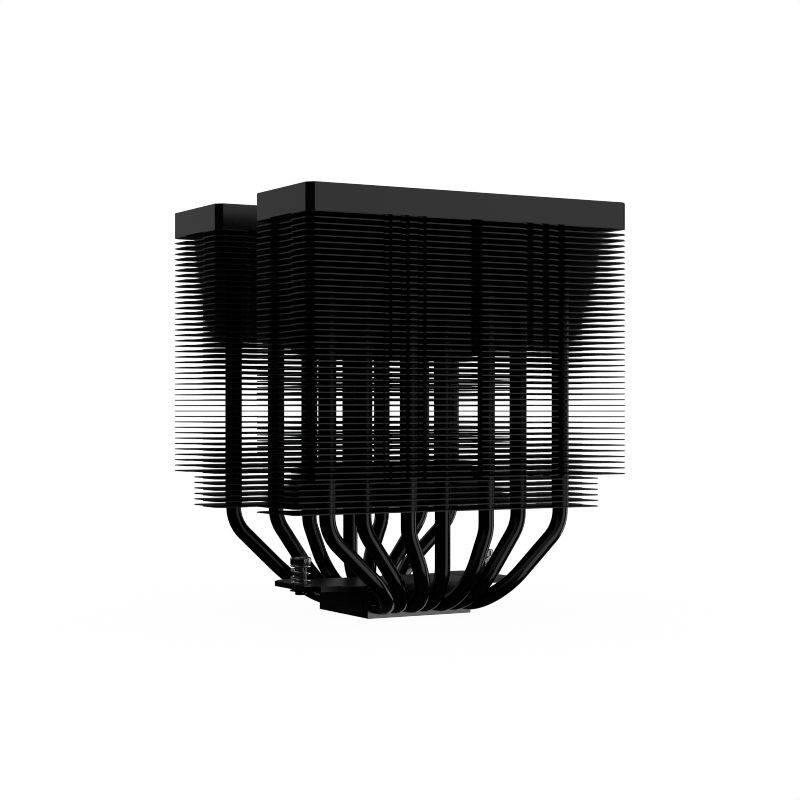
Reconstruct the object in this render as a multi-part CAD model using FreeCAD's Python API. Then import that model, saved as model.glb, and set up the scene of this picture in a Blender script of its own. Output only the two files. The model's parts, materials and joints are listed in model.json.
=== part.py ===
"""Twin-tower air cooler for a processor: two fin stacks on seven heat pipes.

Frame: millimetres, +Z up, origin at the centre of the base's contact face.
+X runs along the wide faces of the towers, the front tower stands at -Y.
"""

import FreeCAD, Part

import math
import os

from FreeCAD import Vector

# ---- driving dimensions: towers -------------------------------------------------
TOWER_WIDTH = 138.3
TOWER_DEPTH = 45.1
TOWER_GAP = 33.7
TOTAL_HEIGHT = 160.0
CORNER_CHAMFER = 2.5

FIN_THICKNESS = 0.4
FIN_PITCH = 2.2
TOP_FIN_Z = 149.8
UPPER_FIN_COUNT = 44
LOWER_FIN_COUNT = 6

SIDE_RECESS_LENGTH = 17.0
SIDE_RECESS_DEPTH = 2.25
CENTRE_NOTCH_DEPTH = 2.5
CLIP_NOTCH_DEPTH = 1.7
CLIP_NOTCH_FLOOR = 2.0
CLIP_NOTCH_CENTRES = (23.2, 30.3, 37.4)
INNER_NOTCH_CENTRE = 52.8
INNER_NOTCH_WIDTH = 7.6
LOWER_FIN_OUTER_Y = 46.35
LOWER_FIN_CHAMFER = 1.6

# ---- driving dimensions: heat pipes ---------------------------------------------
PIPE_RADIUS = 3.0
PIPE_COUNT = 7
PIPE_FIT = 0.03
PIPE_BASE_Z = 4.7
PIPE_BASE_SPACING = 6.45
PIPE_TOWER_SPACING = 17.07
INNER_ROW_Y = 37.44
OUTER_ROW_Y = 41.35
INNER_ROW_BEND = 16.0
OUTER_ROW_BEND = 18.7
UPPER_BEND = 14.8
UPPER_BEND_Z = {0: 33.5, 1: 33.5, 2: 35.5, 3: 34.5}
PIPE_TIP_Z = 156.1
PIPE_TIP_TAPER = 2.4
PIPE_TIP_RADIUS = 1.2
COLLAR_WALL = 0.3
COLLAR_GAP = 0.02

# ---- driving dimensions: top covers ---------------------------------------------
CAP_WALL = 1.6
CAP_TOP_WALL = 2.0
CAP_EDGE = 0.2
CAP_PLATE_THICKNESS = 1.2
CAP_PLATE_FIT = 0.15
CAP_SCREW_X = 60.0
CAP_POST_RADIUS = 3.2
CAP_SCREW_LENGTH = 7.0

# ---- driving dimensions: base and mounting bar ----------------------------------
BASE_X = 46.0
BASE_Y = 40.6
BASE_TOP_Z = 10.4
BASE_EDGE = 0.15

BAR_HALF_LENGTH = 46.2
BAR_HALF_WIDTH = 17.8
BAR_THICKNESS = 2.0
BAR_CORNER = 4.4
BAR_STEP = 0.5
BAR_STEP_START_X = 31.0
BAR_STEP_END_X = 34.0
BAR_SCREW_X = 9.45
BAR_SCREW_LENGTH = 3.9

# ---- driving dimensions: spring screws ------------------------------------------
MOUNT_SCREW_X = 41.5
SCREW_HOLE_RADIUS = 2.55
SHANK_RADIUS = 2.4
HEAD_RADIUS = 4.08
HEAD_BOTTOM_Z = 20.2
HEAD_TOP_Z = 22.9
HEAD_EDGE = 0.6
DRIVE_SPAN = 4.6
DRIVE_WIDTH = 1.2
DRIVE_DEPTH = 1.6
NECK_RADIUS = 1.35
THREAD_RADIUS = 2.4
THREAD_TIP_Z = 8.4
THREAD_TIP_EDGE = 0.35
CLIP_RADIUS = 4.2
CLIP_THICKNESS = 0.4
CLIP_TOP_GAP = 0.6
CLIP_MOUTH = 2.3
SPRING_RADIUS = 3.65
SPRING_WIRE_RADIUS = 0.4
SPRING_TURNS = 3.75
SPRING_FLAT_TURNS = 0.375
SPRING_CLOSED_TURNS = 0.5
SPRING_CLOSED_RISE = 0.45
SPRING_START = 285
SPRING_STEPS = 16

# ---- M3 countersunk screws, shared by the bar and the covers --------------------
M3_RADIUS = 1.5
M3_CORE_RADIUS = 1.25
M3_HEAD_RADIUS = 2.8
M3_HEAD_HEIGHT = 1.5
M3_DRIVE_RADIUS = 1.0
M3_DRIVE_DEPTH = 0.9

# ---- worked-out sizes -----------------------------------------------------------
HALF_WIDTH = TOWER_WIDTH / 2
INNER_Y = TOWER_GAP / 2
OUTER_Y = INNER_Y + TOWER_DEPTH
TOWER_MID_Y = INNER_Y + TOWER_DEPTH / 2
PIPE_HOLE_RADIUS = PIPE_RADIUS + PIPE_FIT
COLLAR_HEIGHT = FIN_PITCH - FIN_THICKNESS - COLLAR_GAP
CAP_BOTTOM_Z = TOP_FIN_Z + FIN_THICKNESS / 2
BAR_TOP_Z = BASE_TOP_Z + BAR_THICKNESS
BAR_END_BOTTOM_Z = BASE_TOP_Z + BAR_STEP
BAR_END_TOP_Z = BAR_TOP_Z + BAR_STEP
CLIP_TOP_Z = BAR_END_BOTTOM_Z - CLIP_TOP_GAP
CLIP_BOTTOM_Z = CLIP_TOP_Z - CLIP_THICKNESS
SPRING_BOTTOM_Z = BAR_END_TOP_Z + SPRING_WIRE_RADIUS
SPRING_TOP_Z = HEAD_BOTTOM_Z - SPRING_WIRE_RADIUS
UP = Vector(0, 0, 1)
MITRED = 1


def polygon_plate(points, bottom_z, thickness):
    """Flat plate with a straight-sided outline given as (x, y) points."""
    corners = [Vector(x, y, bottom_z) for x, y in points]
    outline = Part.makePolygon(corners + corners[:1])
    return Part.Face(outline).extrude(Vector(0, 0, thickness))


def upright_cylinder(radius, x, y, bottom_z, top_z):
    return Part.makeCylinder(radius, top_z - bottom_z, Vector(x, y, bottom_z), UP)


def box_between(low, high):
    size = [b - a for a, b in zip(low, high)]
    return Part.makeBox(size[0], size[1], size[2], Vector(*low))


def turned(shape):
    """The same shape for the rear tower: half a turn about Z."""
    copy = shape.copy()
    copy.rotate(Vector(0, 0, 0), UP, 180)
    return copy


def mirrored_points(right_half):
    """Outline points for +X, in order, followed by their mirror for -X."""
    return right_half + [(-x, y) for x, y in reversed(right_half)]


# ---- towers ---------------------------------------------------------------------
def pipe_indices():
    half = PIPE_COUNT // 2
    return range(-half, half + 1)


def in_inner_row(index):
    return index % 2 == 0


def row_y(index):
    return INNER_ROW_Y if in_inner_row(index) else OUTER_ROW_Y


def front_pipe_places():
    return [(index * PIPE_TOWER_SPACING, -row_y(index)) for index in pipe_indices()]


def inner_face_points():
    """Inner edge of a front-tower fin for +X, from the middle to the corner."""
    edge = INNER_NOTCH_CENTRE + INNER_NOTCH_WIDTH / 2
    start = INNER_NOTCH_CENTRE - INNER_NOTCH_WIDTH / 2
    floor_y = -INNER_Y - CLIP_NOTCH_DEPTH
    return [
        (start, -INNER_Y),
        (start + CLIP_NOTCH_DEPTH, floor_y),
        (edge - CLIP_NOTCH_DEPTH, floor_y),
        (edge, -INNER_Y),
        (HALF_WIDTH - CORNER_CHAMFER, -INNER_Y),
        (HALF_WIDTH, -INNER_Y - CORNER_CHAMFER),
    ]


def recess_start_points():
    """Where the side recess starts, coming from the inner corner."""
    start_y = -TOWER_MID_Y + SIDE_RECESS_LENGTH / 2
    floor_x = HALF_WIDTH - SIDE_RECESS_DEPTH
    return [(HALF_WIDTH, start_y), (floor_x, start_y - SIDE_RECESS_DEPTH)]


def recess_end_points():
    end_y = -TOWER_MID_Y - SIDE_RECESS_LENGTH / 2
    floor_x = HALF_WIDTH - SIDE_RECESS_DEPTH
    return [(floor_x, end_y + SIDE_RECESS_DEPTH), (HALF_WIDTH, end_y)]


def outer_face_points():
    """Outer edge of a front-tower fin for +X, from the corner to the middle."""
    points = [
        (HALF_WIDTH, -OUTER_Y + CORNER_CHAMFER),
        (HALF_WIDTH - CORNER_CHAMFER, -OUTER_Y),
    ]
    floor_y = -OUTER_Y + CLIP_NOTCH_DEPTH
    width = CLIP_NOTCH_FLOOR + CLIP_NOTCH_DEPTH
    for centre in reversed(CLIP_NOTCH_CENTRES):
        inner_x = centre - width / 2
        points += [
            (inner_x + width, -OUTER_Y),
            (inner_x + CLIP_NOTCH_FLOOR, floor_y),
            (inner_x, floor_y),
            (inner_x, -OUTER_Y),
        ]
    points.append((CENTRE_NOTCH_DEPTH, -OUTER_Y))
    return points


def upper_fin_outline():
    right = inner_face_points() + recess_start_points() + recess_end_points()
    right += outer_face_points()
    notch_tip = [(0, -OUTER_Y + CENTRE_NOTCH_DEPTH)]
    left = [(-x, y) for x, y in reversed(right)]
    return right + notch_tip + left


def lower_fin_outline():
    floor_x = HALF_WIDTH - SIDE_RECESS_DEPTH
    right = inner_face_points() + recess_start_points()
    right += [
        (floor_x, -LOWER_FIN_OUTER_Y + LOWER_FIN_CHAMFER),
        (floor_x - LOWER_FIN_CHAMFER, -LOWER_FIN_OUTER_Y),
    ]
    return mirrored_points(right)


def top_fin(outline, collar_height):
    """Stamped fin at the top of the front tower, with a drawn collar round each heat pipe."""
    bottom_z = TOP_FIN_Z - FIN_THICKNESS / 2
    fin = polygon_plate(outline, bottom_z, FIN_THICKNESS)
    collar_top = bottom_z + FIN_THICKNESS + collar_height
    outer_radius = PIPE_HOLE_RADIUS + COLLAR_WALL
    collars = [
        upright_cylinder(outer_radius, x, y, bottom_z, collar_top)
        for x, y in front_pipe_places()
    ]
    holes = [
        upright_cylinder(PIPE_HOLE_RADIUS, x, y, bottom_z - 1, collar_top + 1)
        for x, y in front_pipe_places()
    ]
    return fin.fuse(collars).cut(holes).removeSplitter().Solids[0]


def fin_stack(outline, first, count):
    """Front-tower fins numbered from the top, each one a separate solid."""
    pattern = top_fin(outline, COLLAR_HEIGHT)
    fins = []
    for number in range(first, first + count):
        fin = pattern.copy()
        fin.translate(Vector(0, 0, -number * FIN_PITCH))
        fins.append(fin)
    return fins


def upper_fins():
    """Full fins. The top one has no collars, because the cover's plate lies on it."""
    outline = upper_fin_outline()
    return Part.Compound([top_fin(outline, 0)] + fin_stack(outline, 1, UPPER_FIN_COUNT - 1))


def lower_fins():
    """Shorter fins below the full ones."""
    return Part.Compound(fin_stack(lower_fin_outline(), UPPER_FIN_COUNT, LOWER_FIN_COUNT))


# ---- top covers -----------------------------------------------------------------
def cover_outline(inset):
    """Plan of a front cover, moved inwards by inset on every side."""
    half_x = HALF_WIDTH - inset
    outer = -OUTER_Y + inset
    inner = -INNER_Y - inset
    chamfer = CORNER_CHAMFER - inset * (2 - math.sqrt(2))
    return mirrored_points([
        (half_x - chamfer, inner),
        (half_x, inner - chamfer),
        (half_x, outer + chamfer),
        (half_x - chamfer, outer),
    ])


def cover_screw_places():
    return [(x, -TOWER_MID_Y) for x in (-CAP_SCREW_X, CAP_SCREW_X)]


def m3_screw(x, y, top_z, length, clearance=0.0):
    """Countersunk M3 screw; with clearance, the hole that it needs."""
    radius = M3_RADIUS + clearance
    head_radius = M3_HEAD_RADIUS + clearance
    head = Part.makeCone(radius, head_radius, M3_HEAD_HEIGHT, Vector(x, y, top_z - M3_HEAD_HEIGHT), UP)
    return head.fuse(upright_cylinder(radius, x, y, top_z - length, top_z - M3_HEAD_HEIGHT / 2))


def driven_m3_screw(x, y, top_z, length):
    hexagon = Part.makePolygon([
        Vector(
            x + M3_DRIVE_RADIUS * math.cos(math.radians(60 * corner)),
            y + M3_DRIVE_RADIUS * math.sin(math.radians(60 * corner)),
            top_z - M3_DRIVE_DEPTH,
        )
        for corner in range(7)
    ])
    drive = Part.Face(hexagon).extrude(Vector(0, 0, M3_DRIVE_DEPTH + 1))
    return m3_screw(x, y, top_z, length).cut(drive).removeSplitter().Solids[0]


def top_cover():
    """Hollow cover, open below, with countersunk holes for its two screws."""
    height = TOTAL_HEIGHT - CAP_BOTTOM_Z
    body = polygon_plate(cover_outline(0), CAP_BOTTOM_Z, height)
    top_edges = [
        edge for edge in body.Edges
        if all(abs(vertex.Point.z - TOTAL_HEIGHT) < 1e-6 for vertex in edge.Vertexes)
    ]
    body = body.makeChamfer(CAP_EDGE, top_edges)
    hollow = polygon_plate(cover_outline(CAP_WALL), CAP_BOTTOM_Z - 1, height - CAP_TOP_WALL + 1)
    cover = body.cut(hollow)
    for x, y in cover_screw_places():
        cover = cover.cut(m3_screw(x, y, TOTAL_HEIGHT, CAP_SCREW_LENGTH, PIPE_FIT))
    return cover.Solids[0]


def cover_plate():
    """Top plate pressed on the pipes, with two threaded posts for the cover."""
    outline = cover_outline(CAP_WALL + CAP_PLATE_FIT)
    plate = polygon_plate(outline, CAP_BOTTOM_Z, CAP_PLATE_THICKNESS)
    post_top = TOTAL_HEIGHT - CAP_TOP_WALL
    posts = [
        upright_cylinder(CAP_POST_RADIUS, x, y, CAP_BOTTOM_Z, post_top)
        for x, y in cover_screw_places()
    ]
    holes = [
        upright_cylinder(PIPE_HOLE_RADIUS, x, y, CAP_BOTTOM_Z - 1, post_top)
        for x, y in front_pipe_places()
    ]
    threads = [
        upright_cylinder(M3_RADIUS + PIPE_FIT, x, y, CAP_BOTTOM_Z - 1, post_top + 1)
        for x, y in cover_screw_places()
    ]
    return plate.fuse(posts).cut(holes + threads).removeSplitter().Solids[0]


def cover_screws():
    return Part.Compound([
        driven_m3_screw(x, y, TOTAL_HEIGHT, CAP_SCREW_LENGTH)
        for x, y in cover_screw_places()
    ])


# ---- heat pipes -----------------------------------------------------------------
def unit(vector):
    return vector * (1 / vector.Length)


def rounded_path(points, radii):
    """Straight runs joined by tangent arcs; radii belong to the inner points."""
    edges = []
    start = points[0]
    for index, radius in enumerate(radii, start=1):
        corner = points[index]
        back = unit(points[index - 1] - corner)
        ahead = unit(points[index + 1] - corner)
        half_angle = back.getAngle(ahead) / 2
        reach = radius / math.tan(half_angle)
        to_centre = unit(back + ahead)
        first = corner + back * reach
        last = corner + ahead * reach
        middle = corner + to_centre * (radius / math.sin(half_angle) - radius)
        edges.append(Part.LineSegment(start, first).toShape())
        edges.append(Part.Arc(first, middle, last).toShape())
        start = last
    edges.append(Part.LineSegment(start, points[-1]).toShape())
    return Part.Wire(edges)


def pipe_route(index):
    """Corner points and bend radii of one pipe, front tip to rear tip."""
    base_x = index * PIPE_BASE_SPACING
    tower_x = index * PIPE_TOWER_SPACING
    y = row_y(index)
    bend_z = UPPER_BEND_Z[abs(index)]
    tip_z = PIPE_TIP_Z - PIPE_TIP_TAPER
    low_bend = INNER_ROW_BEND if in_inner_row(index) else OUTER_ROW_BEND
    front = [(Vector(base_x, -y, PIPE_BASE_Z), low_bend)]
    if index:
        front.insert(0, (Vector(tower_x, -y, bend_z), UPPER_BEND))
    rear = [(Vector(point.x, -point.y, point.z), radius) for point, radius in reversed(front)]
    corners = front + rear
    points = [Vector(tower_x, -y, tip_z)]
    points += [point for point, radius in corners]
    points.append(Vector(tower_x, y, tip_z))
    return points, [radius for point, radius in corners]


def heat_pipe(index):
    points, radii = pipe_route(index)
    path = rounded_path(points, radii)
    section = Part.Wire(Part.makeCircle(PIPE_RADIUS, points[0], UP))
    pipe = path.makePipeShell([section], True, False)
    for end in (points[0], points[-1]):
        tip = Part.makeCone(PIPE_RADIUS, PIPE_TIP_RADIUS, PIPE_TIP_TAPER, end, UP)
        pipe = pipe.fuse(tip)
    volume = math.pi * PIPE_RADIUS ** 2 * path.Length
    print("heat pipe", index, "length", round(path.Length, 1), "volume ratio", round(pipe.Volume / volume, 3))
    return pipe.removeSplitter().Solids[0]


# ---- base and mounting bar ------------------------------------------------------
def pipe_channels():
    return [
        Part.makeCylinder(
            PIPE_HOLE_RADIUS,
            BASE_Y + 2,
            Vector(index * PIPE_BASE_SPACING, -BASE_Y / 2 - 1, PIPE_BASE_Z),
            Vector(0, 1, 0),
        )
        for index in pipe_indices()
    ]


def base_block(bottom_z, top_z, edge_z):
    """Half of the base, with its outer edges at edge_z broken."""
    block = box_between((-BASE_X / 2, -BASE_Y / 2, bottom_z), (BASE_X / 2, BASE_Y / 2, top_z))
    edges = [
        edge for edge in block.Edges
        if all(abs(vertex.Point.z - edge_z) < 1e-6 for vertex in edge.Vertexes)
    ]
    return block.makeChamfer(BASE_EDGE, edges)


def base_plate():
    return base_block(0, PIPE_BASE_Z, 0).cut(pipe_channels()).Solids[0]


def bar_screw_places():
    return [(-BAR_SCREW_X, 0), (BAR_SCREW_X, 0)]


def base_cover():
    cover = base_block(PIPE_BASE_Z, BASE_TOP_Z, BASE_TOP_Z).cut(pipe_channels())
    for x, y in bar_screw_places():
        cover = cover.cut(m3_screw(x, y, BAR_TOP_Z, BAR_SCREW_LENGTH, PIPE_FIT))
    return cover.Solids[0]


def mounting_bar():
    """Stepped bar: its ends sit a little higher than the part on the base."""
    upper = [
        (BAR_STEP_START_X, BAR_TOP_Z),
        (BAR_STEP_END_X, BAR_END_TOP_Z),
        (BAR_HALF_LENGTH, BAR_END_TOP_Z),
    ]
    lower = [(x, z - BAR_THICKNESS) for x, z in reversed(upper)]
    right = upper + lower
    profile = right + [(-x, z) for x, z in reversed(right)]
    corners = [Vector(x, -BAR_HALF_WIDTH, z) for x, z in profile]
    strip = Part.Face(Part.makePolygon(corners + corners[:1]))
    strip = strip.extrude(Vector(0, 2 * BAR_HALF_WIDTH, 0))
    plan = polygon_plate(
        mirrored_points([
            (BAR_HALF_LENGTH - BAR_CORNER, -BAR_HALF_WIDTH),
            (BAR_HALF_LENGTH, -BAR_HALF_WIDTH + BAR_CORNER),
            (BAR_HALF_LENGTH, BAR_HALF_WIDTH - BAR_CORNER),
            (BAR_HALF_LENGTH - BAR_CORNER, BAR_HALF_WIDTH),
        ]),
        BASE_TOP_Z - 1,
        BAR_THICKNESS + 2,
    )
    bar = strip.common(plan)
    for x in (-MOUNT_SCREW_X, MOUNT_SCREW_X):
        bar = bar.cut(upright_cylinder(SCREW_HOLE_RADIUS, x, 0, BASE_TOP_Z - 1, BAR_END_TOP_Z + 1))
    for x, y in bar_screw_places():
        bar = bar.cut(m3_screw(x, y, BAR_TOP_Z, BAR_SCREW_LENGTH, PIPE_FIT))
    return bar.removeSplitter().Solids[0]


def bar_screws():
    return Part.Compound([
        driven_m3_screw(x, y, BAR_TOP_Z, BAR_SCREW_LENGTH)
        for x, y in bar_screw_places()
    ])


# ---- spring screws --------------------------------------------------------------
def mounting_screw(x):
    """Shouldered screw, turned in one piece, with a groove for its clip."""
    profile = [
        (0, THREAD_TIP_Z),
        (THREAD_RADIUS - THREAD_TIP_EDGE, THREAD_TIP_Z),
        (THREAD_RADIUS, THREAD_TIP_Z + THREAD_TIP_EDGE),
        (THREAD_RADIUS, CLIP_BOTTOM_Z - PIPE_FIT),
        (NECK_RADIUS, CLIP_BOTTOM_Z - PIPE_FIT),
        (NECK_RADIUS, CLIP_TOP_Z + PIPE_FIT),
        (SHANK_RADIUS, CLIP_TOP_Z + PIPE_FIT),
        (SHANK_RADIUS, HEAD_BOTTOM_Z),
        (HEAD_RADIUS, HEAD_BOTTOM_Z),
        (HEAD_RADIUS, HEAD_TOP_Z - HEAD_EDGE),
        (HEAD_RADIUS - HEAD_EDGE, HEAD_TOP_Z),
        (0, HEAD_TOP_Z),
    ]
    corners = [Vector(x + radius, 0, z) for radius, z in profile]
    half = Part.Face(Part.makePolygon(corners + corners[:1]))
    screw = half.revolve(Vector(x, 0, 0), UP, 360)
    for long_x, long_y in ((DRIVE_SPAN, DRIVE_WIDTH), (DRIVE_WIDTH, DRIVE_SPAN)):
        low = (x - long_x / 2, -long_y / 2, HEAD_TOP_Z - DRIVE_DEPTH)
        high = (x + long_x / 2, long_y / 2, HEAD_TOP_Z + 1)
        screw = screw.cut(box_between(low, high))
    return screw.removeSplitter().Solids[0]


def retaining_clip(x):
    """Open clip in the screw's groove, under the bar."""
    clip = upright_cylinder(CLIP_RADIUS, x, 0, CLIP_BOTTOM_Z, CLIP_TOP_Z)
    clip = clip.cut(upright_cylinder(NECK_RADIUS + PIPE_FIT, x, 0, CLIP_BOTTOM_Z - 1, CLIP_TOP_Z + 1))
    mouth = box_between(
        (x - CLIP_MOUTH / 2, 0, CLIP_BOTTOM_Z - 1),
        (x + CLIP_MOUTH / 2, CLIP_RADIUS + 1, CLIP_TOP_Z + 1),
    )
    return clip.cut(mouth).Solids[0]


def spring_rise(turns):
    """Climb of the wire from its end: flat, then closed, then open up to half the spring."""
    if turns <= SPRING_FLAT_TURNS:
        return 0
    sloping = turns - SPRING_FLAT_TURNS
    if sloping <= SPRING_CLOSED_TURNS:
        return SPRING_CLOSED_RISE * sloping / SPRING_CLOSED_TURNS
    open_turns = SPRING_TURNS - 2 * (SPRING_FLAT_TURNS + SPRING_CLOSED_TURNS)
    open_rise = SPRING_TOP_Z - SPRING_BOTTOM_Z - 2 * SPRING_CLOSED_RISE
    return SPRING_CLOSED_RISE + open_rise * (sloping - SPRING_CLOSED_TURNS) / open_turns


def spring_height(turns):
    """Height of the wire's centre after so many turns from the lower end."""
    if turns <= SPRING_TURNS / 2:
        return SPRING_BOTTOM_Z + spring_rise(turns)
    return SPRING_TOP_Z - spring_rise(SPRING_TURNS - turns)


def pressure_spring(x):
    """Left-hand spring between the bar and the screw's head, wound in short straight steps."""
    centres = []
    for step in range(round(SPRING_TURNS * SPRING_STEPS) + 1):
        turns = step / SPRING_STEPS
        angle = math.radians(SPRING_START - 360 * turns)
        centre_x = x + SPRING_RADIUS * math.cos(angle)
        centres.append(Vector(centre_x, SPRING_RADIUS * math.sin(angle), spring_height(turns)))
    route = Part.makePolygon(centres)
    section = Part.Wire(Part.makeCircle(SPRING_WIRE_RADIUS, centres[0], centres[1] - centres[0]))
    return route.makePipeShell([section], True, False, MITRED)


# ---- export ---------------------------------------------------------------------
def export_tower(prefix, place):
    place(upper_fins()).exportStep("parts/%s_fins.step" % prefix)
    place(lower_fins()).exportStep("parts/%s_lower_fins.step" % prefix)
    place(cover_plate()).exportStep("parts/%s_cover_plate.step" % prefix)
    place(top_cover()).exportStep("parts/%s_cover.step" % prefix)
    place(cover_screws()).exportStep("parts/%s_cover_screws.step" % prefix)


def export_spring_screw(prefix, x):
    mounting_screw(x).exportStep("parts/%s_screw.step" % prefix)
    retaining_clip(x).exportStep("parts/%s_clip.step" % prefix)
    pressure_spring(x).exportStep("parts/%s_spring.step" % prefix)


os.makedirs("parts", exist_ok=True)
export_tower("front", lambda shape: shape)
export_tower("rear", turned)
for number, pipe_index in enumerate(pipe_indices(), start=1):
    heat_pipe(pipe_index).exportStep("parts/heat_pipe_%d.step" % number)
base_plate().exportStep("parts/base_plate.step")
base_cover().exportStep("parts/base_cover.step")
mounting_bar().exportStep("parts/mounting_bar.step")
bar_screws().exportStep("parts/bar_screws.step")
export_spring_screw("left", -MOUNT_SCREW_X)
export_spring_screw("right", MOUNT_SCREW_X)
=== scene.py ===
"""Looks of a twin-tower processor cooler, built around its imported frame.

Metres, +Z up, the frame's own origin: the centre of the base's contact face.
"""

import json
import math

import bmesh
import bpy
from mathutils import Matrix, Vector


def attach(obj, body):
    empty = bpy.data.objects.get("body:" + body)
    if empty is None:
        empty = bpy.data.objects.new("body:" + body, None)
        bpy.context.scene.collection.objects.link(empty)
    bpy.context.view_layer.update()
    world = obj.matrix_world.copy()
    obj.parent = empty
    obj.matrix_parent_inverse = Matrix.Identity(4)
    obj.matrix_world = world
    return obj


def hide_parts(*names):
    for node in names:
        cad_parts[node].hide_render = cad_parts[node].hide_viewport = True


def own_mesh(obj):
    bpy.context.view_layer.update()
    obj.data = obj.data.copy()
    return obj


MM = 0.001
SMOOTH_ANGLE = math.radians(35)

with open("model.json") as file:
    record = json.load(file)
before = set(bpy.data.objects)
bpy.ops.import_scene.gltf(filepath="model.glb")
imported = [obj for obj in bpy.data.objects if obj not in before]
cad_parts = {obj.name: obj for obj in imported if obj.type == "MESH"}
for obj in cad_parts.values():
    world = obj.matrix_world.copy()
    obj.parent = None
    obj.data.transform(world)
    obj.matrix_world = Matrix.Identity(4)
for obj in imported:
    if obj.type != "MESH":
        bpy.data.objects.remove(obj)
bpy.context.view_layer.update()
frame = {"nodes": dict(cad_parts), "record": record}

# ---- camera ---------------------------------------------------------------------
CAMERA_PLACE = (-0.3562, -0.6355, 0.0795)
CAMERA_HEADING = -29.445
CAMERA_LENS = 82.46
CAMERA_SHIFT_UP = 0.0135

# ---- studio: headings are counter-clockwise from +X, elevations above the floor ----
FLOOR_SIZE = 30.0
BACKGROUND = 1.0
FLOOR_GLOW = 0.97
OVERHEAD_SPREAD = 120.0
OVERHEAD_STRENGTH = 0.9
REFLECTOR_DISTANCE = 2.0
REFLECTOR_COLUMNS = 24
REFLECTOR_ROWS = 12
REFLECTORS = (
    # name, heading, half width, lowest and highest elevation in degrees, radiance
    ("front_right_reflector", -59.0, 17.5, -25.0, 50.0, 0.88),
    ("rear_left_reflector", 119.4, 16.0, 2.0, 50.0, 0.35),
    ("rear_glow_reflector", 60.6, 18.0, 0.5, 14.0, 0.12),
    ("rear_low_reflector", 60.0, 12.0, -32.0, -12.0, 0.12),
    ("right_reflector", 0.0, 17.0, -20.0, 50.0, 1.4),
    ("rear_right_low_reflector", 42.0, 15.0, -34.0, -13.0, 0.45),
)
DOME_RADIUS = 6.0
# share of the dome's height, from its lowest point up, and its radiance there
DOME_LEVELS = (
    (0.02, 0.012), (0.36, 0.012), (0.42, 0.003), (0.57, 0.003), (0.66, 0.1), (0.98, 0.3),
)
EYE_HEIGHT = CAMERA_PLACE[2]


def add_camera():
    data = bpy.data.cameras.new("camera")
    data.sensor_width = 36.0
    data.lens = CAMERA_LENS
    data.shift_y = CAMERA_SHIFT_UP
    data.clip_start = 0.01
    data.clip_end = 100.0
    camera = bpy.data.objects.new("camera", data)
    camera.location = CAMERA_PLACE
    camera.rotation_euler = (math.radians(90), 0, math.radians(CAMERA_HEADING))
    bpy.context.scene.collection.objects.link(camera)
    bpy.context.scene.camera = camera


def glow_material(name, radiance):
    material = bpy.data.materials.new(name)
    material.use_nodes = True
    material.cycles.emission_sampling = "NONE"
    nodes = material.node_tree.nodes
    nodes.remove(nodes["Principled BSDF"])
    glow = nodes.new("ShaderNodeEmission")
    glow.inputs["Strength"].default_value = radiance
    material.node_tree.links.new(glow.outputs[0], nodes["Material Output"].inputs["Surface"])
    return material


def show_in_gloss_only(thing):
    thing.visible_camera = False
    thing.visible_diffuse = False
    thing.visible_shadow = False


def add_reflector(name, heading, half_width, lowest, highest, radiance):
    """Patch of a sphere round the object that only its gloss shows."""
    points = []
    for row in range(REFLECTOR_ROWS + 1):
        elevation = math.radians(lowest + (highest - lowest) * row / REFLECTOR_ROWS)
        for column in range(REFLECTOR_COLUMNS + 1):
            angle = math.radians(heading + half_width * (2 * column / REFLECTOR_COLUMNS - 1))
            flat = REFLECTOR_DISTANCE * math.cos(elevation)
            up = REFLECTOR_DISTANCE * math.sin(elevation)
            points.append((flat * math.cos(angle), flat * math.sin(angle), up + EYE_HEIGHT))
    faces = []
    for row in range(REFLECTOR_ROWS):
        for column in range(REFLECTOR_COLUMNS):
            first = row * (REFLECTOR_COLUMNS + 1) + column
            above = first + REFLECTOR_COLUMNS + 1
            faces.append((first, first + 1, above + 1, above))
    mesh = bpy.data.meshes.new(name)
    mesh.from_pydata(points, [], faces)
    mesh.materials.append(glow_material(name + "_glow", radiance))
    reflector = bpy.data.objects.new(name, mesh)
    bpy.context.scene.collection.objects.link(reflector)
    show_in_gloss_only(reflector)


def add_world():
    """White surroundings that only the camera sees, so that they don't grey the black metal."""
    world = bpy.data.worlds.new("world")
    world.use_nodes = True
    background = world.node_tree.nodes["Background"]
    background.inputs["Color"].default_value = (1, 1, 1, 1)
    background.inputs["Strength"].default_value = BACKGROUND
    world.cycles_visibility.glossy = False
    world.cycles_visibility.diffuse = False
    bpy.context.scene.world = world


def plain_material(name, colour, roughness):
    material = bpy.data.materials.new(name)
    material.use_nodes = True
    shader = material.node_tree.nodes["Principled BSDF"]
    shader.inputs["Base Color"].default_value = (*colour, 1)
    shader.inputs["Roughness"].default_value = roughness
    return material


def add_floor():
    """White floor that glows, as a light table does, so that it shows next to no shadow."""
    bpy.ops.mesh.primitive_plane_add(size=FLOOR_SIZE)
    floor = bpy.context.object
    floor.name = "floor"
    material = plain_material("floor_white", (0.1, 0.1, 0.1), 0.9)
    shader = material.node_tree.nodes["Principled BSDF"]
    shader.inputs["Specular IOR Level"].default_value = 0.0
    shader.inputs["Emission Color"].default_value = (1, 1, 1, 1)
    shader.inputs["Emission Strength"].default_value = FLOOR_GLOW
    material.cycles.emission_sampling = "NONE"
    floor.data.materials.append(material)
    floor.visible_glossy = False
    floor.visible_diffuse = False


def add_overhead_light():
    """Wide soft light from straight above, as even over the floor as daylight."""
    data = bpy.data.lights.new("overhead_light", "SUN")
    data.angle = math.radians(OVERHEAD_SPREAD)
    data.energy = OVERHEAD_STRENGTH
    light = bpy.data.objects.new("overhead_light", data)
    bpy.context.scene.collection.objects.link(light)


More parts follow.
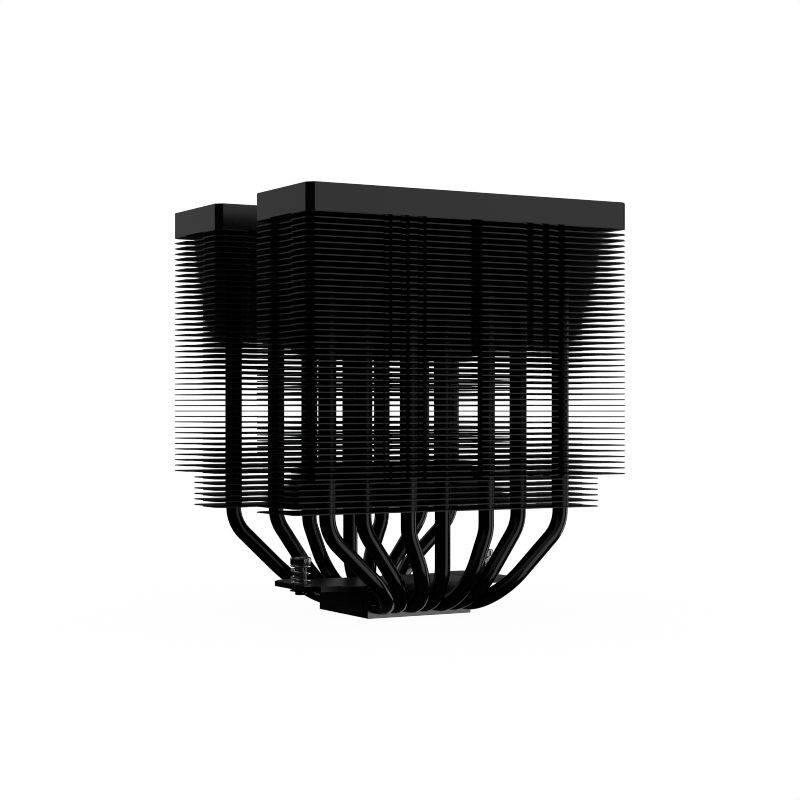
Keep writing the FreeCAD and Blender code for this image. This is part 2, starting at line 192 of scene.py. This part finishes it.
def add_dome():
    """Faint surroundings for the gloss alone, darkest level with the object."""
    bpy.ops.mesh.primitive_uv_sphere_add(segments=64, ring_count=64, radius=DOME_RADIUS)
    dome = bpy.context.object
    dome.name = "dome"
    material = glow_material("dome_glow", 1.0)
    tree = material.node_tree
    place = tree.nodes.new("ShaderNodeTexCoord")
    parts = tree.nodes.new("ShaderNodeSeparateXYZ")
    ramp = tree.nodes.new("ShaderNodeMapRange")
    ramp.inputs["From Min"].default_value = -DOME_RADIUS
    ramp.inputs["From Max"].default_value = DOME_RADIUS
    levels = tree.nodes.new("ShaderNodeValToRGB")
    stops = levels.color_ramp.elements
    for position, level in DOME_LEVELS:
        stop = stops.new(position)
        stop.color = (level, level, level, 1)
    stops.remove(stops[0])
    stops.remove(stops[-1])
    tree.links.new(place.outputs["Object"], parts.inputs[0])
    tree.links.new(parts.outputs["Z"], ramp.inputs["Value"])
    tree.links.new(ramp.outputs["Result"], levels.inputs["Fac"])
    tree.links.new(levels.outputs["Color"], tree.nodes["Emission"].inputs["Color"])
    dome.data.materials.append(material)
    show_in_gloss_only(dome)


add_camera()
add_world()
add_floor()
add_overhead_light()
add_dome()
for reflector in REFLECTORS:
    add_reflector(*reflector)
bpy.context.scene.view_settings.view_transform = "Standard"
bpy.context.scene.cycles.filter_width = 1.0

# ---- materials ------------------------------------------------------------------
GLOSS_VARIATION = 0.15
RELIEF_DEPTH = 0.1 * MM
# the vector sockets of a Map Range node, which share their names with its number sockets
VECTOR_IN = 6
VECTOR_TO_MIN = 9
VECTOR_TO_MAX = 10
VECTOR_OUT = 1


def metal(name, colour, metallic, roughness, grain_scale, stretch=(1, 1, 1), variation=0.25, bump=0.02):
    """Coated or plated metal with uneven gloss, slight colour change and a fine grain."""
    material = bpy.data.materials.new(name)
    material.use_nodes = True
    tree = material.node_tree
    shader = tree.nodes["Principled BSDF"]
    shader.inputs["Metallic"].default_value = metallic
    place = tree.nodes.new("ShaderNodeTexCoord")
    mapping = tree.nodes.new("ShaderNodeMapping")
    mapping.inputs["Scale"].default_value = stretch
    tree.links.new(place.outputs["Object"], mapping.inputs["Vector"])
    grain = tree.nodes.new("ShaderNodeTexNoise")
    grain.inputs["Scale"].default_value = grain_scale
    grain.inputs["Detail"].default_value = 4.0
    tree.links.new(mapping.outputs[0], grain.inputs["Vector"])
    colours = tree.nodes.new("ShaderNodeMapRange")
    colours.data_type = "FLOAT_VECTOR"
    colours.inputs[VECTOR_TO_MIN].default_value = [c * (1 - variation) for c in colour]
    colours.inputs[VECTOR_TO_MAX].default_value = [c * (1 + variation) for c in colour]
    tree.links.new(grain.outputs["Fac"], colours.inputs[VECTOR_IN])
    tree.links.new(colours.outputs[VECTOR_OUT], shader.inputs["Base Color"])
    gloss = tree.nodes.new("ShaderNodeMapRange")
    gloss.inputs["To Min"].default_value = roughness * (1 - GLOSS_VARIATION)
    gloss.inputs["To Max"].default_value = roughness * (1 + GLOSS_VARIATION)
    tree.links.new(grain.outputs["Fac"], gloss.inputs["Value"])
    tree.links.new(gloss.outputs["Result"], shader.inputs["Roughness"])
    relief = tree.nodes.new("ShaderNodeBump")
    relief.inputs["Strength"].default_value = bump
    relief.inputs["Distance"].default_value = RELIEF_DEPTH
    tree.links.new(grain.outputs["Fac"], relief.inputs["Height"])
    tree.links.new(relief.outputs["Normal"], shader.inputs["Normal"])
    return material


MATERIALS = {
    "fins": metal("fin_black", (0.003, 0.003, 0.0031), 0.0, 0.38, 900, bump=0.05),
    "cover": metal("cover_black", (0.004, 0.004, 0.0041), 0.0, 0.22, 1500, (0.15, 1, 1)),
    "pipes": metal("pipe_black", (0.003, 0.003, 0.0031), 0.0, 0.14, 600),
    "base_plate": metal("base_nickel", (0.15, 0.15, 0.154), 1.0, 0.25, 900, (0.1, 1, 1)),
    "base_cover": metal("base_black", (0.004, 0.004, 0.0041), 0.0, 0.3, 900),
    "mounting_bar": metal("bar_black", (0.005, 0.005, 0.0051), 0.0, 0.3, 1200, bump=0.08),
    "black_screws": metal("screw_black", (0.02, 0.02, 0.02), 1.0, 0.35, 1500),
    "spring_screws": metal("screw_nickel", (0.32, 0.32, 0.325), 1.0, 0.12, 1500, bump=0.004),
    "springs": metal("spring_steel", (0.75, 0.75, 0.76), 1.0, 0.14, 2500),
    "clips": metal("clip_steel", (0.05, 0.05, 0.05), 1.0, 0.3, 1500),
}
for part in frame["record"]["subparts"]:
    mesh = frame["nodes"][part["node"]].data
    mesh.materials.clear()
    mesh.materials.append(MATERIALS[part["material_slot"]])

# ---- springs and spring screws, in millimetres, with more detail than their CAD nodes
SCREW_X = {"left": -41.5, "right": 41.5}

SPRING_BOTTOM = 12.9
SPRING_TOP = 20.2
SPRING_RADIUS = 3.65
SPRING_WIRE = 0.4
SPRING_TURNS = 3.75
SPRING_FLAT_TURNS = 0.375
SPRING_CLOSED_TURNS = 0.5
SPRING_CLOSED_RISE = 0.45
SPRING_START = 285
SPRING_GRIND = 0.12
SPRING_STEPS = 48
SPRING_SIDES = 14
SPRING_EVENING = (-0.1, -0.05, 0, 0.05, 0.1)

SCREW_SIDES = 72
THREAD_BOTTOM = 8.4
THREAD_TOP = 9.87
THREAD_RADIUS = 2.4
THREAD_DEPTH = 0.32
THREAD_PITCH = 0.8
THREAD_ROWS = 30
THREAD_TIP_EDGE = 0.3
THREAD_RUN_OUT = 0.2
THREAD_LEAST_DEPTH = 0.3
NECK_RADIUS = 1.35
NECK_TOP = 10.33
SHANK_RADIUS = 2.4
HEAD_RADIUS = 4.08
HEAD_BOTTOM = 20.2
HEAD_TOP = 22.9
HEAD_EDGE = 0.55
LOWER_EDGE = 0.2
HEAD_FILLET = 0.15
CORNER_STEPS = 4
# the cross recess: half of its span and of its arms' width, and its floor's share of its top's size
RECESS_SPAN = 2.3
RECESS_WIDTH = 0.6
RECESS_DEPTH = 1.5
RECESS_TAPER = 0.7


def mesh_piece(name, points, faces, material):
    """Piece from points in millimetres, smooth where its faces meet at a flat angle."""
    mesh = bpy.data.meshes.new(name)
    mesh.from_pydata([Vector(point) * MM for point in points], [], faces)
    mesh.materials.append(MATERIALS[material])
    mesh.shade_smooth()
    mesh.set_sharp_from_angle(angle=SMOOTH_ANGLE)
    piece = bpy.data.objects.new(name, mesh)
    bpy.context.scene.collection.objects.link(piece)
    return piece


def bridge_rings(first, second, sides):
    """Faces between two rings of points, each given by the number of its first point."""
    return [
        (first + side, first + (side + 1) % sides, second + (side + 1) % sides, second + side)
        for side in range(sides)
    ]


def spring_rise(turns):
    """Climb of the wire's centre from its end: flat, then closed, then open up to half the spring."""
    if turns <= SPRING_FLAT_TURNS:
        return 0
    sloping = turns - SPRING_FLAT_TURNS
    if sloping <= SPRING_CLOSED_TURNS:
        return SPRING_CLOSED_RISE * sloping / SPRING_CLOSED_TURNS
    open_turns = SPRING_TURNS - 2 * (SPRING_FLAT_TURNS + SPRING_CLOSED_TURNS)
    open_rise = SPRING_TOP - SPRING_BOTTOM - 2 * (SPRING_WIRE + SPRING_CLOSED_RISE)
    return SPRING_CLOSED_RISE + open_rise * (sloping - SPRING_CLOSED_TURNS) / open_turns


def spring_height(turns):
    """Height of the wire's centre, with the bends between slopes evened out."""
    total = 0
    for offset in SPRING_EVENING:
        from_bottom = min(max(turns + offset, 0), SPRING_TURNS)
        if from_bottom <= SPRING_TURNS / 2:
            total += SPRING_BOTTOM + SPRING_WIRE + spring_rise(from_bottom)
        else:
            total += SPRING_TOP - SPRING_WIRE - spring_rise(SPRING_TURNS - from_bottom)
    return total / len(SPRING_EVENING)


def ground_height(turns):
    """The wire's ends lean out a little before they are ground flat."""
    bottom_share = max(0, 1 - turns / SPRING_FLAT_TURNS)
    top_share = max(0, 1 - (SPRING_TURNS - turns) / SPRING_FLAT_TURNS)
    return spring_height(turns) + SPRING_GRIND * (top_share - bottom_share)


def add_spring(side):
    """Left-hand spring of smooth round wire, with its ends ground flat."""
    x = SCREW_X[side]
    points = []
    steps = round(SPRING_TURNS * SPRING_STEPS)
    for step in range(steps + 1):
        turns = step / SPRING_STEPS
        angle = math.radians(SPRING_START - 360 * turns)
        height = ground_height(turns)
        for corner in range(SPRING_SIDES):
            around = 2 * math.pi * corner / SPRING_SIDES
            radius = SPRING_RADIUS + SPRING_WIRE * math.cos(around)
            z = height + SPRING_WIRE * math.sin(around)
            z = min(max(z, SPRING_BOTTOM), SPRING_TOP)
            points.append((x + radius * math.cos(angle), radius * math.sin(angle), z))
    faces = []
    for step in range(steps):
        faces += bridge_rings(step * SPRING_SIDES, (step + 1) * SPRING_SIDES, SPRING_SIDES)
    faces.append(tuple(reversed(range(SPRING_SIDES))))
    faces.append(tuple(range(steps * SPRING_SIDES, (steps + 1) * SPRING_SIDES)))
    spring = mesh_piece(side + "_spring_wire", points, faces, "springs")
    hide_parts(side + "_spring")
    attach(spring, "cooler")
    height = SPRING_TOP - SPRING_BOTTOM
    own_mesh(spring)


def rounded_corner(centre_radius, centre_z, size, start, end):
    """Profile points round a corner, from angle start to angle end in degrees."""
    points = []
    for step in range(CORNER_STEPS + 1):
        angle = math.radians(start + (end - start) * step / CORNER_STEPS)
        points.append((centre_radius + size * math.cos(angle), centre_z + size * math.sin(angle)))
    return points


def screw_profile():
    """Radius and height up the screw, above its thread."""
    profile = [(NECK_RADIUS, THREAD_TOP), (NECK_RADIUS, NECK_TOP)]
    profile += rounded_corner(SHANK_RADIUS - LOWER_EDGE, NECK_TOP + LOWER_EDGE, LOWER_EDGE, -90, 0)
    profile += rounded_corner(SHANK_RADIUS + HEAD_FILLET, HEAD_BOTTOM - HEAD_FILLET, HEAD_FILLET, 180, 90)
    profile += rounded_corner(HEAD_RADIUS - LOWER_EDGE, HEAD_BOTTOM + LOWER_EDGE, LOWER_EDGE, -90, 0)
    profile += rounded_corner(HEAD_RADIUS - HEAD_EDGE, HEAD_TOP - HEAD_EDGE, HEAD_EDGE, 0, 90)
    return profile


def thread_radius(height, turn):
    """Radius of the threaded end, at a height and a share of a turn round it."""
    phase = (height / THREAD_PITCH - turn) % 1
    groove = THREAD_DEPTH * abs(2 * phase - 1)
    up = (height - THREAD_BOTTOM) / THREAD_TIP_EDGE
    depth = min(1, up, (THREAD_TOP - height) / THREAD_RUN_OUT)
    tip = THREAD_TIP_EDGE * max(0, 1 - up)
    return THREAD_RADIUS - groove * max(THREAD_LEAST_DEPTH, depth) - tip


def cross_outline(x, z, span, width):
    """Twelve corners of a cross, counter-clockwise from above."""
    corners = []
    for quarter in range(4):
        angle = math.radians(90 * quarter)
        for along, across in ((span, -width), (span, width), (width, width)):
            corners.append((
                x + along * math.cos(angle) - across * math.sin(angle),
                along * math.sin(angle) + across * math.cos(angle),
                z,
            ))
    return corners


def add_ring(points, x, radii, z):
    """Adds a ring of points round the screw's axis, one radius for each."""
    for side, radius in enumerate(radii):
        angle = 2 * math.pi * side / len(radii)
        points.append((x + radius * math.cos(angle), radius * math.sin(angle), z))


def add_screw(side):
    """Shouldered screw with rounded edges, a real thread and a tapered cross recess."""
    x = SCREW_X[side]
    points = []
    for row in range(THREAD_ROWS + 1):
        z = THREAD_BOTTOM + (THREAD_TOP - THREAD_BOTTOM) * row / THREAD_ROWS
        add_ring(points, x, [thread_radius(z, step / SCREW_SIDES) for step in range(SCREW_SIDES)], z)
    for radius, z in screw_profile():
        add_ring(points, x, [radius] * SCREW_SIDES, z)
    rings = len(points) // SCREW_SIDES
    faces = [tuple(reversed(range(SCREW_SIDES)))]
    for ring in range(rings - 1):
        faces += bridge_rings(ring * SCREW_SIDES, (ring + 1) * SCREW_SIDES, SCREW_SIDES)
    cross = len(points)
    points += cross_outline(x, HEAD_TOP, RECESS_SPAN, RECESS_WIDTH)
    points += cross_outline(
        x, HEAD_TOP - RECESS_DEPTH, RECESS_SPAN * RECESS_TAPER, RECESS_WIDTH * RECESS_TAPER
    )
    faces += bridge_rings(cross, cross + 12, 12)
    screw = mesh_piece(side + "_screw_body", points, faces, "spring_screws")
    close_recess(screw.data, (rings - 1) * SCREW_SIDES, cross)
    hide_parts(side + "_screw")
    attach(screw, side + "_screw")


def close_recess(mesh, rim, cross):
    """Fills the flat of the head round its recess, and the recess's floor."""
    shape = bmesh.new()
    shape.from_mesh(mesh)
    shape.verts.ensure_lookup_table()
    rings = ((rim, SCREW_SIDES), (cross, 12))
    edges = [
        shape.edges.get((shape.verts[first + step], shape.verts[first + (step + 1) % count]))
        for first, count in rings for step in range(count)
    ]
    bmesh.ops.triangle_fill(shape, edges=edges, use_beauty=True)
    shape.faces.new([shape.verts[cross + 12 + step] for step in range(12)])
    bmesh.ops.recalc_face_normals(shape, faces=shape.faces)
    shape.to_mesh(mesh)
    shape.free()
    mesh.set_sharp_from_angle(angle=SMOOTH_ANGLE)


for side in SCREW_X:
    add_spring(side)
    add_screw(side)
